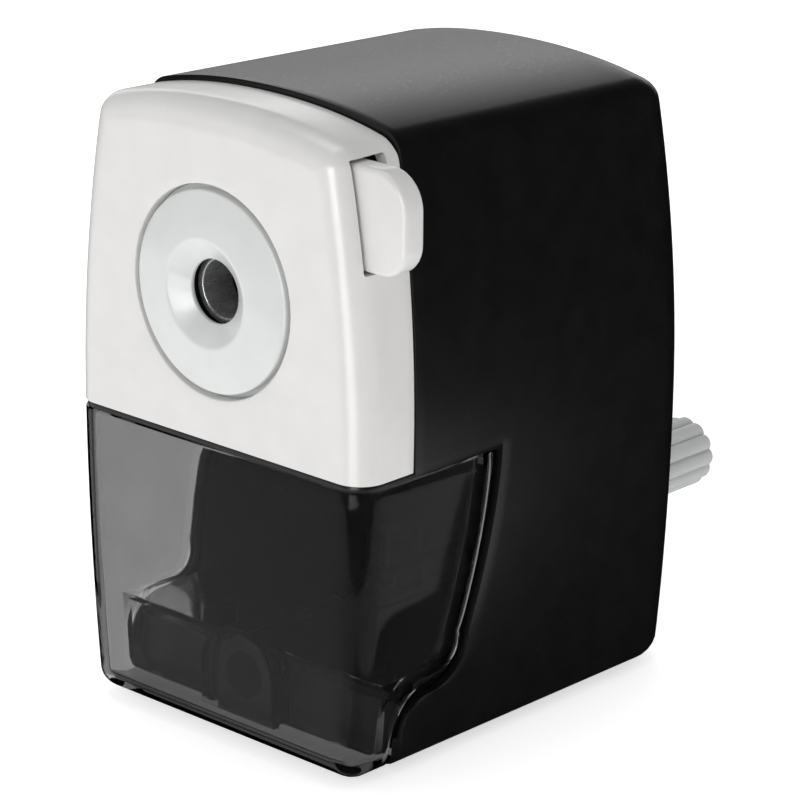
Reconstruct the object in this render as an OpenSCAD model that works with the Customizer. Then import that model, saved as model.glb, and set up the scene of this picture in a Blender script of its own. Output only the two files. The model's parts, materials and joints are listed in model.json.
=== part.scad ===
// Crank pencil sharpener with a sliding auto-feed front, a jaw clamp and a shavings drawer.
// X is to the right, +Y to the back, +Z up; the origin is on the table under the middle of the body.

/* [Body] */
// Overall height of the body at the front, feet included
height = 104.8; // [98:0.1:112]
// Overall depth of the body
depth = 78; // [76:0.5:82]
// Half of the width at the widest level
half_widest = 31.9; // [31:0.1:33]
// Half of the width at the bottom
half_bottom = 29.3; // [28.5:0.1:30]
// Half of the width at the top
half_top = 25.7; // [25:0.1:27]
// Level at which the body is widest
widest_z = 50.6; // [48:0.1:53]
// Drop of the domed top at the corners
dome_drop = 3.0; // [2:0.1:4]
// Part of its height that the body loses from front to back
back_fall = 0.027; // [0:0.001:0.04]
// Wall thickness of the moulded shells
wall = 2.0; // [1.6:0.1:2.4]
// Height of the feet below the body
foot_gap = 0.8; // [0.5:0.1:1]

/* [Pencil entry] */
// Level of the pencil axis
axis_z = 74.4; // [74:0.1:75]
// Radius of the pencil hole in the steel collar
pencil_r = 4.6; // [4.4:0.05:4.7]
// Radius of the disc's throat in front of the collar
throat_r = 5.05; // [4.9:0.05:5.2]
// Radius of the round opening in the front panel
disc_seat_r = 16.9; // [16.6:0.1:17.2]
// Height of the dome on the entry disc
disc_dome = 2.0; // [1:0.1:2.4]

/* [Drawer] */
// Level of the lower edge of the front panel
panel_bottom_z = 50.0; // [49.5:0.1:51]
// Level of the drawer's upper edge
drawer_top_z = 49.1; // [48:0.1:49.4]
// Level of the underside of the drawer's tray
tray_z = 14.4; // [14.2:0.1:15]

/* [Gearing] */
// Slope of the cutter's axis against the pencil axis, in degrees
cutter_slope = 9.7; // [8:0.1:10]

/* [Crank] */
// Distance from the shaft to the knob
crank_r = 55; // [48:0.5:56]
// Radius of the knob over its lobes
knob_r = 6.2; // [5.5:0.1:7]
// Length of the knob
knob_len = 31; // [26:0.5:32]

/* [Hidden] */
$fn = 48;

front_y = -depth / 2 - 0.1;
back_y = depth / 2 - 0.1;
skin_step = 0.2;                          // the drawer and the panel sit this far inside the housing
face_y = front_y + skin_step;             // front face of the panel and the drawer
front_round = 4.9;
back_round = 7.4;
top_corner_r = 4.6;
bottom_corner_r = 4.2;
dome_ref_x = 31.2;
run = 0.05;                               // radial clearance of running fits
big = 200;

// Half width of the body at level z.
function side_x(z) = z < widest_z
    ? half_widest - (half_widest - half_bottom) * pow((widest_z - z) / (widest_z - foot_gap), 2)
    : half_widest - (half_widest - half_top) * pow((z - widest_z) / (height - widest_z), 2);
// Level of the domed top at x.
function top_at(x) = height - dome_drop * pow(x / dome_ref_x, 2);
function arc(cx, cz, r, a0, a1, n) =
    [for (i = [0:n]) [cx + r * cos(a0 + (a1 - a0) * i / n), cz + r * sin(a0 + (a1 - a0) * i / n)]];
// Right half of the front outline, from the bottom up, drawn in by inset.
top_cz = height - top_corner_r - 2.4;
top_cx = side_x(top_cz) - top_corner_r * 1.02;
bottom_cz = foot_gap + bottom_corner_r;
bottom_cx = side_x(bottom_cz) - bottom_corner_r;
function half_outline(inset) = concat(
    arc(bottom_cx, bottom_cz, max(bottom_corner_r - inset, 0.4), -90, -8, 4),
    [for (i = [1:7]) let (z = bottom_cz + (top_cz - bottom_cz) * i / 8) [side_x(z) - inset, z]],
    arc(top_cx, top_cz, max(top_corner_r - inset, 0.4), 10, 76, 4),
    [for (i = [1:3]) let (x = (top_cx + 2) * (1 - i / 3)) [x, top_at(x) - inset]]);
function fall(y) = 1 - back_fall * (y - front_y) / depth;
function outline(inset, y) = let (h = half_outline(inset)) concat(
    [for (p = h) [p.x, foot_gap + (p.y - foot_gap) * fall(y)]],
    [for (i = [len(h) - 2:-1:0]) [-h[i].x, foot_gap + (h[i].y - foot_gap) * fall(y)]]);

// Thin slice of the body form at depth y.
module slice(y, inset)
    translate([0, y, 0]) rotate([90, 0, 0]) linear_extrude(0.02) polygon(outline(inset, y));

// The whole rounded body form, drawn in by inset on all sides.
module form(inset) {
    rf = max(front_round - inset, 0.5);
    rb = max(back_round - inset, 0.5);
    hull() {
        for (a = [0:30:90]) {
            slice(front_y + inset + rf * (1 - sin(a)) + 0.02, inset + rf * (1 - cos(a)));
            slice(back_y - inset - rb * (1 - sin(a)), inset + rb * (1 - cos(a)));
        }
    }
}

// Side view shapes are drawn in (y, z) and run through the whole width.
module across(w = big)
    rotate([90, 0, 90]) translate([0, 0, -w / 2]) linear_extrude(w) children();

// Curved rear edge of the drawer's side, moved forward by gap; it runs from the top down.
sweep_y = -7.5;
sweep_len = 6.2;
ledge_y = -22;
ledge_z = 12.4;
hollow_r = 8.5;
toe_r = 5.6;
sweep_h = panel_bottom_z - ledge_z - hollow_r;
function rear_edge(gap) = concat(
    [for (i = [0:6]) let (s = i / 6)
        [sweep_y - gap - sweep_len * pow(s, 1.5), panel_bottom_z - sweep_h * s]],
    arc(ledge_y, ledge_z + hollow_r, hollow_r - gap, -12, -90, 6),
    arc(ledge_y, ledge_z - toe_r, toe_r + gap, 90, 180, 6));
// Everything in front of that edge.
module drawer_side(gap, top)
    across() polygon(concat([[-big, top]], [[rear_edge(gap)[0].x, top]],
                            [for (p = rear_edge(gap)) if (p.y < top) p],
                            [[ledge_y - toe_r - gap, -1], [-big, -1]]));

// The seam between the panel and the housing leans back a little towards the top.
seam_low_y = -27.3;
seam_high_y = -25.3;
module panel_side(gap)
    across() polygon([[-big, panel_bottom_z], [seam_low_y - gap, panel_bottom_z],
                      [seam_high_y - gap, height + 5], [-big, height + 5]]);

// Moves to the pencil axis, with the part's +Z along +Y of the object.
module on_axis(x = 0, z = axis_z, y = 0) translate([x, y, z]) rotate([-90, 0, 0]) children();
// Round bar along Y, from y0 to y1.
module bar(r, y0, y1, x = 0, z = axis_z) on_axis(x, z, y0) cylinder(r = r, h = y1 - y0);
// Position on a circle about the pencil axis, angle from +X towards +Z.
function around(r, a) = [r * cos(a), axis_z + r * sin(a)];
module block(x0, x1, y0, y1, z0, z1) translate([x0, y0, z0]) cube([x1 - x0, y1 - y0, z1 - z0]);
// Two such blocks, on the right and on the left.
module blocks(x0, x1, y0, y1, z0, z1) {
    block(x0, x1, y0, y1, z0, z1);
    block(-x1, -x0, y0, y1, z0, z1);
}

// Pan-head screw along +Y with its head at y; to = -1 makes it enter towards -Y.
module screw_y(x, y, z, r, len, head_r, head_h, to = 1)
    translate([x, y, z]) rotate([to > 0 ? -90 : 90, 0, 0]) screw(r, len, head_r, head_h);
module screw(r, len, head_r, head_h) {
    difference() {
        union() {
            cylinder(r = r, h = len);
            translate([0, 0, -head_h]) cylinder(r = head_r, h = head_h);
        }
        for (a = [0, 90])
            rotate(a) translate([-head_r * 0.6, -0.3, -head_h - 1])
                cube([head_r * 1.2, 0.6, 1 + head_h * 0.6]);
    }
}

// ---- Fixed structure -------------------------------------------------------------------------

inner = wall + 0.3;                       // the housing's inner face
lip_in = 1.3;                             // outer face of the lip behind the drawer's edge
boss_y = 18;                              // front end of the bearing boss on the rear wall
rear_in_y = back_y - inner;
frame_posts = [[-16, 90], [16, 90], [-14, 56], [14, 56]];
base_posts = [[-21.5, -17], [21.5, -17], [-21.5, 26], [21.5, 26]];
base_top = 3.4;
base_half = 25.4;
base_back_y = 31.3;
deck_in = 0.9;
deck_z0 = drawer_top_z + 0.15;
deck_z1 = panel_bottom_z - 0.15;

module housing() color("#141416") difference() {
    union() {
        difference() {
            form(0);
            drawer_side(0, panel_bottom_z);
            panel_side(0);
            form(inner);
        }
        // Lip that closes the gap behind the drawer's curved edge.
        intersection() {
            difference() {
                form(lip_in);
                form(inner);
            }
            difference() {
                drawer_side(-3, panel_bottom_z);
                drawer_side(4, panel_bottom_z);
            }
            block(-40, 40, -33, 0, foot_gap, panel_bottom_z - 1.5);
        }
        // Thin deck that shows as the dark line between the panel and the drawer.
        difference() {
            intersection() {
                form(deck_in);
                block(-40, 40, -50, 5, deck_z0, deck_z1);
            }
            block(-24, 24, -32, 6, 0, 60);
        }
        bar(8, boss_y, rear_in_y + 0.5);
        for (p = frame_posts) bar(3.6, rear_in_y - 2.5, rear_in_y + 0.5, p.x, p.y);
        for (p = base_posts) translate([p.x, p.y, base_top + 0.05]) cylinder(r = 3, h = 8);
        blocks(22, 29, -18, -16, base_top + 0.05, 10);
        blocks(22, 29, 25, 27, base_top + 0.05, 10);
    }
    // Open underside for the base plate.
    block(-base_half - 0.1, base_half + 0.1, -40, base_back_y + 0.1, -1, base_top + 0.05);
    bar(4.6, boss_y - 1, back_y + 1);
    for (p = frame_posts) {
        bar(1.6, rear_in_y - 3, back_y + 1, p.x, p.y);
        bar(3.4, back_y - 1.2, back_y + 1, p.x, p.y);
    }
    for (p = base_posts) translate([p.x, p.y, 0]) cylinder(r = 1.1, h = 10);
}

foot_spots = [[-19, -7], [19, -7], [-13, 25], [13, 25], [0, 0]];
hump_r = 5.8;
hump_z = 10.4;
hump_y0 = -31.6;
hump_y1 = -7;
module base_plate() color("#1b1b1d") difference() {
    union() {
        block(-base_half, base_half, -27, base_back_y, foot_gap, base_top);
        // Front wall behind the drawer's toe.
        intersection() {
            form(inner + 0.2);
            block(-40, 40, -27, -25, base_top - 0.1, 11.4);
        }
        // Socket for a desk clamp.
        bar(hump_r, hump_y0, hump_y1, 0, hump_z);
        block(-hump_r, hump_r, hump_y0, hump_y1, foot_gap + 1.4, hump_z);
    }
    bar(4, hump_y0 - 1, hump_y1 - 2, 0, hump_z - 0.6);
    for (p = base_posts) translate([p.x, p.y, -1]) cylinder(r = 1.4, h = 10);
    for (p = base_posts) translate([p.x, p.y, -1]) cylinder(r = 2.9, h = 3.2);
    for (p = foot_spots) translate([p.x, p.y, -1]) cylinder(r = 5.05, h = 2.4);
}

module rubber_feet() color("#3a3a3c")
    for (p = foot_spots) translate([p.x, p.y, 0]) rotate_extrude()
        polygon([[0, 0], [4.4, 0], [5, 0.6], [5, 1.4], [0, 1.4]]);

module base_screws() color("silver")
    for (p = base_posts) translate([p.x, p.y, 2.2]) screw(1.05, 7, 2.6, 1.1);

// Gear frame: a cup for the ring gear, two rod guides and four posts to the rear wall.
cup_y0 = -14.4;
cup_y1 = -8;
cup_r = 20.4;
ring_seat_r = 18.6;
rod_x = 22.5;
rod_z = 62.6;
rod_r = 1.75;
rod_guide_y1 = -2;
module mechanism_frame() color("#2b2c2f") difference() {
    union() {
        bar(cup_r, cup_y0, cup_y1);
        for (p = frame_posts) bar(3.2, cup_y0 + 2, rear_in_y - 2.6, p.x, p.y);
        blocks(9, 17, cup_y0 + 2, cup_y1, 56, 90);
        for (s = [-1, 1]) bar(3.9, cup_y0 + 1, rod_guide_y1, s * rod_x, rod_z);
        blocks(12, rod_x, cup_y0 + 2, cup_y1, rod_z - 3, rod_z + 3);
    }
    bar(ring_seat_r, cup_y0 - 1, cup_y1 - 2);
    bar(16.6, cup_y0 - 1, cup_y1 + 1);
    for (s = [-1, 1]) bar(rod_r + run, cup_y0 - 1, rod_guide_y1 + 1, s * rod_x, rod_z);
    for (p = frame_posts) bar(1.3, rear_in_y - 12, rear_in_y, p.x, p.y);
}

module frame_screws() color("silver")
    for (p = frame_posts) screw_y(p.x, back_y - 1.15, p.y, 1.25, 11, 3, 1.6, -1);

module rear_bush() color("#c9a24a") difference() {
    union() {
        bar(4.55, boss_y - 0.5, back_y + 0.2);
        bar(6.5, boss_y - 1.6, boss_y - 0.1);
    }
    bar(shaft_r + run, boss_y - 3, back_y + 2);
}

// ---- Gearing and cutter ----------------------------------------------------------------------

shaft_r = 2.5;
gear_module = 0.8;
ring_teeth = 38;
pinion_teeth = 12;
gear_y = -12.2;                           // middle of the gear faces
ring_pitch_r = gear_module * ring_teeth / 2;
pinion_pitch_r = gear_module * pinion_teeth / 2;
gear_gap = ring_pitch_r - pinion_pitch_r;
addendum = 0.5;
dedendum = 0.95;
tip_half = 0.16;
pitch_half = 0.46;
root_half = 0.8;

// One tooth of the pinion, pointing along +X.
module pinion_tooth() polygon([
    [pinion_pitch_r - dedendum - 0.3, -root_half], [pinion_pitch_r - dedendum, -root_half],
    [pinion_pitch_r, -pitch_half], [pinion_pitch_r + addendum, -tip_half],
    [pinion_pitch_r + addendum, tip_half], [pinion_pitch_r, pitch_half],
    [pinion_pitch_r - dedendum, root_half], [pinion_pitch_r - dedendum - 0.3, root_half]]);

// Gap between two teeth of the ring gear, as wide as the tooth pitch less one tooth.
half_pitch = PI * gear_module / 2;
module ring_gap() polygon([
    [ring_pitch_r - addendum - 0.3, -half_pitch * 0.93], [ring_pitch_r, pitch_half - half_pitch],
    [ring_pitch_r + dedendum, root_half - half_pitch - 0.06],
    [ring_pitch_r + dedendum, half_pitch + 0.06 - root_half],
    [ring_pitch_r, half_pitch - pitch_half], [ring_pitch_r - addendum - 0.3, half_pitch * 0.93]]);

module ring_gear() color("#b9bcc0") on_axis(0, axis_z, gear_y - 2) linear_extrude(4) difference() {
    circle(r = ring_seat_r - 0.05);
    circle(r = ring_pitch_r - addendum);
    for (i = [0:ring_teeth - 1]) rotate(-90 + i * 360 / ring_teeth) ring_gap();
}

// Frame of the cutter: origin where its axis meets the middle of the gears, +Z along the axis.
module on_cutter() translate([0, gear_y, axis_z + gear_gap]) rotate([-90 - cutter_slope, 0, 0]) children();

pin_r = 1.5;
module cutter_pinion() color("#d0d2d5") on_cutter() translate([0, 0, -1.5]) linear_extrude(3) difference() {
    union() {
        circle(r = pinion_pitch_r - dedendum);
        for (i = [0:pinion_teeth - 1]) rotate(-90 + i * 360 / pinion_teeth) pinion_tooth();
    }
    circle(r = pin_r + run);
}

flutes = 10;
cutter_r = 5.7;
flute_depth = 0.9;
module cutter() color("#8d9094") on_cutter() difference() {
    union() {
        translate([0, 0, 1.5]) cylinder(r = 3.4, h = 1.6);
        translate([0, 0, 3]) linear_extrude(19, twist = 70, slices = 8) polygon(
            [for (i = [0:flutes - 1], k = [0:2]) let (a = (i + [0, 0.25, 0.7][k]) * 360 / flutes)
                let (r = cutter_r - [0, 0.25, flute_depth][k]) [r * cos(a), r * sin(a)]]);
    }
    translate([0, 0, -1]) cylinder(r = pin_r + run, h = 30);
}

module cutter_pin() color("silver") on_cutter() translate([0, 0, -5.6]) cylinder(r = pin_r, h = 31.4);

carrier_y0 = -19;
carrier_y1 = 13;
// Cage that carries the cutter round the pencil.
module cutter_carrier() color("#46484c") difference() {
    union() {
        bar(8.5, carrier_y0, carrier_y0 + 2.2);
        on_axis(0, axis_z, carrier_y0) linear_extrude(2.2) hull() {
            circle(r = 6);
            translate([0, -11.6]) circle(r = 2.6);
        }
        bar(9.5, carrier_y1 - 3, carrier_y1);
        bar(5, carrier_y1 - 0.1, boss_y - 2);
        for (a = [215, 325]) {
            p = around(9.6, a);
            on_axis(p.x, p.y, carrier_y0) rotate(-a) translate([-1.3, -3.4, 0])
                cube([2.6, 6.8, carrier_y1 - carrier_y0]);
        }
        for (a = [215, 325]) {
            p = around(7.6, a);
            on_axis(p.x, p.y, carrier_y0) rotate(-a) translate([-3.2, -3.4, 0]) cube([6.4, 6.8, 2.2]);
        }
    }
    bar(throat_r + 0.2, carrier_y0 - 1, carrier_y0 + 3);
    bar(shaft_r + 0.01, carrier_y1 - 1.5, boss_y);
    on_cutter() translate([0, 0, -9]) cylinder(r = pin_r + 0.01, h = 40);
    on_cutter() translate([0, 0, 1.4]) cylinder(r = cutter_r + 0.5, h = 21);
}

shaft_end_y = 46;
hub_y1 = 47.2;
module drive_shaft() color("silver") difference() {
    bar(shaft_r, carrier_y1 - 1.45, shaft_end_y);
    bar(1.25, shaft_end_y - 7, shaft_end_y + 1);
}

arm_y0 = 40.4;
arm_y1 = 45;
knob_y0 = 47.8;
knob_z = axis_z - crank_r;
module crank_arm() color("#b4b8ba") difference() {
    union() {
        bar(7.6, arm_y0, hub_y1);
        on_axis(0, axis_z, arm_y0 + 0.8) linear_extrude(arm_y1 - arm_y0 - 0.8) hull() {
            circle(r = 6.4);
            translate([0, crank_r]) circle(r = 5.2);
        }
        bar(5.6, arm_y0 + 0.8, hub_y1, 0, knob_z);
    }
    bar(shaft_r + 0.01, arm_y0 - 1, shaft_end_y + 0.05);
    bar(1.35, shaft_end_y - 1, hub_y1 + 1);
    bar(2.01, arm_y0 - 1, 50, 0, knob_z);
}

module crank_screw() color("silver") screw_y(0, hub_y1 + 0.05, axis_z, 1.2, 7.5, 4, 1.8, -1);

module knob_pin() color("silver") {
    bar(2, arm_y0 + 1, knob_y0 + knob_len - 6, 0, knob_z);
    bar(2.8, knob_y0 + knob_len - 6, knob_y0 + knob_len - 4.6, 0, knob_z);
}

knob_lobes = 12;
module crank_knob() color("#a9adac") difference() {
    on_axis(0, knob_z, knob_y0) union() {
        cylinder(r = knob_r - 0.7, h = knob_len);
        for (i = [0:knob_lobes - 1]) rotate(i * 360 / knob_lobes) translate([knob_r - 1.5, 0, 0])
            cylinder(r = 1.5, h = knob_len - 0.8, $fn = 20);
    }
    bar(2 + run, knob_y0 - 1, knob_y0 + knob_len - 6, 0, knob_z);
    bar(3, knob_y0 + knob_len - 6.1, knob_y0 + knob_len - 4.4, 0, knob_z);
}

// ---- Drawer ----------------------------------------------------------------------------------

tray_wall = 1.5;
tray_back_y = 24;
tray_in = inner + 0.5;                    // outer face of the tray, inside the housing
tunnel_r = hump_r + 0.6;
tunnel_y = hump_y0 - 0.6;
module drawer() color("#3a383b", 0.6) difference() {
    union() {
        intersection() {
            form(skin_step);
            drawer_side(2, drawer_top_z);
        }
        intersection() {
            form(tray_in);
            block(-40, 40, -30, tray_back_y, tray_z, drawer_top_z - 2.6);
        }
    }
    // Hollow of the skin, open at the top.
    difference() {
        intersection() {
            form(skin_step + wall);
            drawer_side(3.2, height);
        }
        // The tunnel's own wall and the riser stand in it.
        bar(tunnel_r + tray_wall, tunnel_y - tray_wall, 0, 0, hump_z);
        block(-tunnel_r - tray_wall, tunnel_r + tray_wall, tunnel_y - tray_wall, 0, 0, hump_z);
        block(-40, 40, -31.4, 0, 0, tray_z + tray_wall);
    }
    // Hollow of the tray.
    difference() {
        intersection() {
            form(tray_in + tray_wall);
            block(-40, 40, -29, tray_back_y - tray_wall, tray_z + tray_wall, height);
        }
        bar(tunnel_r + tray_wall, -31, 60, 0, hump_z);
    }
    // Room for the base behind the toe and under the tray.
    difference() {
        block(-40, 40, -29.8, 60, -5, tray_z);
        bar(tunnel_r + tray_wall, -31, 60, 0, hump_z);
        block(-tunnel_r - tray_wall, tunnel_r + tray_wall, -31, -28, 0, hump_z);
    }
    // Room for the housing's lip.
    intersection() {
        difference() {
            form(lip_in - 0.3);
            form(tray_in);
        }
        union() {
            difference() {
                drawer_side(-60, height);
                drawer_side(4.6, height);
            }
            block(-40, 40, 0, 60, 0, 60);
        }
    }
    bar(tunnel_r, tunnel_y, 60, 0, hump_z);
    block(-tunnel_r, tunnel_r, tunnel_y, 60, -5, hump_z);
}

// ---- Sliding front ---------------------------------------------------------------------------

panel_posts = [[-20.5, 54.8], [-19.5, 91.5], [13, 96.5], [8.5, 54.4]];
slot_y0 = -35.6;
slot_y1 = -28.6;
slot_z0 = 82.4;
slot_z1 = 99.7;
plate_y0 = -30.6;                         // front of the clamp frame's plate
plate_y1 = -28.8;
module front_panel() color("#e9e8e4") difference() {
    union() {
        difference() {
            intersection() {
                form(skin_step);
                panel_side(0.15);
            }
            intersection() {
                form(skin_step + wall);
                block(-40, 40, -50, 0, panel_bottom_z + wall, 120);
            }
        }
        for (p = panel_posts) bar(2.6, face_y + 1.5, plate_y0 - 0.05, p.x, p.y);
    }
    bar(disc_seat_r, front_y - 1, face_y + wall + 1);
    block(22, 45, slot_y0, slot_y1, slot_z0, slot_z1);
    for (p = panel_posts) bar(0.95, plate_y0 - 6, plate_y0 + 1, p.x, p.y);
}

disc_r = 15.75;
rim_r = 8.5;
groove_depth = 0.8;
dome_ball_r = (disc_r * disc_r + disc_dome * disc_dome) / (2 * disc_dome);
function dome_at(r) = sqrt(dome_ball_r * dome_ball_r - r * r) - dome_ball_r + disc_dome;
collar_y0 = -36.1;
flange_r = 18.5;
// Drawn as (radius, distance in front of the panel's face).
module entry_disc() color("#dfe2e1")
    translate([0, face_y, axis_z]) rotate([90, 0, 0]) rotate_extrude($fn = 96) polygon(concat(
        [[pencil_r + 0.2, -2.7], [throat_r, -0.8]],
        [for (i = [0:6]) let (r = rim_r + (disc_r - rim_r) * i / 6) [r, dome_at(r)]],
        [[disc_r, -groove_depth], [disc_seat_r - 0.1, -groove_depth], [disc_seat_r - 0.1, -wall - 0.1],
         [flange_r, -wall - 0.1], [flange_r, -3.6], [7.6, -3.6], [7.6, -5.2], [6.3, -5.2], [6.3, -2.7]]));

module guide_collar() color("#55565a") difference() {
    bar(6.25, collar_y0, -29.7);
    bar(pencil_r, collar_y0 - 1, -29);
}

// Clamp frame: the plate that carries the collar, the jaws, the lever and the rods.
pivot = [25.6, 57.6];                     // lever pivot
// The lever's stud drives the cam ring on the line from the pencil axis to the pivot.
ear_r = 12;
ear_angle = atan2(pivot.y - axis_z, pivot.x);
drive_stud = around(ear_r, ear_angle);
drive_stud_r = 1.2;
jaw_angles = [30, 150, 270];
jaw_pivot_r = 13.5;
module at_jaws()
    for (a = jaw_angles) translate([around(jaw_pivot_r, a).x, 0, around(jaw_pivot_r, a).y]) children();
cover_posts = [for (a = [0, 90, 180]) around(16.6, a)];
ring_y0 = -28.6;
ring_y1 = -26.8;
jaw_y0 = -26.6;
jaw_y1 = -23.6;
cover_y0 = -23.2;
cover_y1 = -21.6;
module clamp_frame() color("#26272a") difference() {
    union() {
        block(-23, 22, plate_y0, plate_y1, 62, 93);
        block(-24, 28.4, plate_y0, plate_y1, 56.5, 66);
        block(-23.4, -17.6, plate_y0, plate_y1, 52.3, 57);
        block(5.5, 11.5, plate_y0, plate_y1, 52.3, 57);
        block(9, 16, plate_y0, plate_y1, 90, 99.5);
        bar(8.2, collar_y0 + 2.4, plate_y1);
        bar(6.9, plate_y1 - 1, ring_y1 + 0.1);
        for (p = cover_posts) bar(1.9, plate_y1 - 0.5, cover_y0, p.x, p.y);
        for (s = [-1, 1]) bar(3.4, plate_y0, -23.5, s * rod_x, rod_z);
        bar(2.8, plate_y0, -26.5, pivot.x, pivot.y);
        block(13.8, 16.2, -34.6, plate_y0 + 0.5, 82, 87);
    }
    bar(6.27, collar_y0 - 1, -29.7);
    bar(throat_r + 0.1, collar_y0 - 1, 0);
    for (s = [-1, 1]) bar(rod_r + 0.01, plate_y0 + 0.6, -20, s * rod_x, rod_z);
    bar(1.51, plate_y0 - 1, -27, pivot.x, pivot.y);
    bar(3.4, plate_y0 - 1, plate_y1 + 1, 9.6, 66.7);
    for (p = panel_posts) bar(1.2, plate_y0 - 1, plate_y1 + 1, p.x, p.y);
    for (p = cover_posts) bar(0.8, cover_y0 - 4, cover_y0 + 1, p.x, p.y);
    at_jaws() bar(1.21, plate_y0 + 0.5, 0, 0, 0);
}

module clamp_cover() color("#26272a") difference() {
    union() {
        bar(15, cover_y0, cover_y1);
        for (p = cover_posts) bar(3, cover_y0, cover_y1, p.x, p.y);
    }
    bar(6.5, cover_y0 - 1, cover_y1 + 1);
    for (p = cover_posts) bar(1.1, cover_y0 - 1, cover_y1 + 1, p.x, p.y);
    at_jaws() bar(1.21, cover_y0 - 1, cover_y1 + 1, 0, 0);
}

module cover_screws() color("silver")
    for (p = cover_posts) screw_y(p.x, cover_y1, p.y, 0.75, 4.4, 2, 1.2, -1);

module panel_screws() color("silver")
    for (p = panel_posts) screw_y(p.x, plate_y1, p.y, 0.9, 6, 2.1, 1.2, -1);

rod_y1 = 35;
module guide_rods() color("silver")
    for (s = [-1, 1]) bar(rod_r, plate_y0 + 0.65, rod_y1, s * rod_x, rod_z);

clip_y = 33.2;
module rod_clips() color("#77797c")
    for (s = [-1, 1]) difference() {
        bar(3.9, clip_y, clip_y + 1, s * rod_x, rod_z);
        bar(rod_r + 0.01, clip_y - 1, clip_y + 2, s * rod_x, rod_z);
    }

spring_gap = 0.1;
module feed_springs() color("#9a9da1")
    for (s = [-1, 1]) difference() {
        bar(3.3, rod_guide_y1 + spring_gap, clip_y - spring_gap, s * rod_x, rod_z);
        bar(2.5, rod_guide_y1 - 1, clip_y + 1, s * rod_x, rod_z);
    }

// Cam ring: three studs push the jaws, a slotted ear takes the lever's stud.
jaw_stud_r = 8.4;
module cam_ring() color("#6d6f73") difference() {
    union() {
        bar(11.4, ring_y0, ring_y1);
        on_axis(0, axis_z, ring_y0) linear_extrude(ring_y1 - ring_y0) rotate(-ear_angle)
            translate([6, -3.4]) square([9.6, 6.8]);
        for (a = jaw_angles) {
            p = around(jaw_stud_r, a);
            bar(0.9, ring_y1 - 0.1, jaw_y1 - 0.2, p.x, p.y);
        }
    }
    bar(6.95, ring_y0 - 1, ring_y1 + 1);
    on_axis(0, axis_z, ring_y0 - 1) linear_extrude(4) rotate(-ear_angle)
        translate([ear_r - 1.9, -drive_stud_r - 0.15]) square([4.3, 2 * drive_stud_r + 0.3]);
}

// Jaw, drawn with its pivot at the origin and the pencil axis at -X.
jaw_slot = jaw_pivot_r - jaw_stud_r;
module jaw(a) color("#a5a8ab")
    on_axis(around(jaw_pivot_r, a).x, around(jaw_pivot_r, a).y, jaw_y0) mirror([0, 1, 0]) rotate(a)
        linear_extrude(jaw_y1 - jaw_y0) difference() {
            union() {
                circle(r = 2.5);
                polygon([[0, 2.5], [-7.6, 2.4], [-10.6, -0.2], [-11.1, -1.2],
                         [-10, -2.1], [-7, -2.5], [0, -2.5]]);
            }
            circle(r = 1.2 + run);
            translate([-jaw_slot - 1.65, -1.1]) square([2.9, 2.2]);
        }
module jaw_1() jaw(jaw_angles[0]);
module jaw_2() jaw(jaw_angles[1]);
module jaw_3() jaw(jaw_angles[2]);

module jaw_pins() color("silver")
    at_jaws() bar(1.2, plate_y0 + 0.6, cover_y1, 0, 0);

// Bell-crank clamp lever with the thumb tab that stands out of the slot.
tab_y0 = -35.2;
tab_y1 = -30.9;
lever_y0 = -34.6;
tab_x1 = 36.8;
tab_z0 = 82.8;
tab_z1 = 99.3;
tab_top_r = 6.2;
tab_low_r = 5;
module clamp_lever() color("#e4e4e1") difference() {
    union() {
        on_lever(tab_y0, tab_y1) polygon(concat(
            [[22, tab_z0], [tab_x1 - tab_low_r, tab_z0]],
            arc(tab_x1 - tab_low_r, tab_z0 + tab_low_r, tab_low_r, -90, 0, 5),
            arc(tab_x1 - tab_top_r, tab_z1 - tab_top_r, tab_top_r, 0, 90, 6),
            [[22, tab_z1]]));
        on_lever(lever_y0, tab_y1)
            polygon([[22, 90], [22, 68], [22.8, 57], [28.2, 57],
                     [28.2, 66], [27.3, 74], [26.2, 83.2], [26.2, 90]]);
        on_lever(lever_y0, tab_y1)
            polygon([pivot + [1.5, 2.4], pivot - [1.5, 2.4],
                     drive_stud - [1.3, 2.1], drive_stud + [1.3, 2.1]]);
        bar(2.9, lever_y0, tab_y1, pivot.x, pivot.y);
        bar(drive_stud_r + 1.2, lever_y0, tab_y1, drive_stud.x, drive_stud.y);
        bar(drive_stud_r, tab_y1 - 0.5, ring_y1, drive_stud.x, drive_stud.y);
    }
    bar(1.5 + run, -36, -30, pivot.x, pivot.y);
}
module on_lever(y0, y1) translate([0, y1, 0]) rotate([90, 0, 0]) linear_extrude(y1 - y0) children();

module lever_pin() color("silver") {
    bar(1.5, -34.9, -27, pivot.x, pivot.y);
    bar(2.4, -35.6, -34.9, pivot.x, pivot.y);
}

spring_y = -32.6;
spring_z = 84.5;
module lever_spring() color("#9a9da1")
    translate([16.25, spring_y, spring_z]) rotate([0, 90, 0]) difference() {
    cylinder(r = 1.7, h = 5.7);
    translate([0, 0, -1]) cylinder(r = 1.2, h = 9);
}

housing();
base_plate();
rubber_feet();
base_screws();
drawer();
front_panel();
entry_disc();
guide_collar();
clamp_frame();
clamp_cover();
cover_screws();
panel_screws();
guide_rods();
rod_clips();
feed_springs();
cam_ring();
jaw_1();
jaw_2();
jaw_3();
jaw_pins();
clamp_lever();
lever_pin();
lever_spring();
mechanism_frame();
frame_screws();
ring_gear();
rear_bush();
cutter_carrier();
cutter();
cutter_pinion();
cutter_pin();
drive_shaft();
crank_arm();
crank_screw();
knob_pin();
crank_knob();
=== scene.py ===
"""Crank pencil sharpener: detailed shells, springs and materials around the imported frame."""
import json
from math import asin, atan2, cos, pi, radians, sin, sqrt

import bmesh
import bpy
from mathutils import Matrix, Vector


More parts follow.
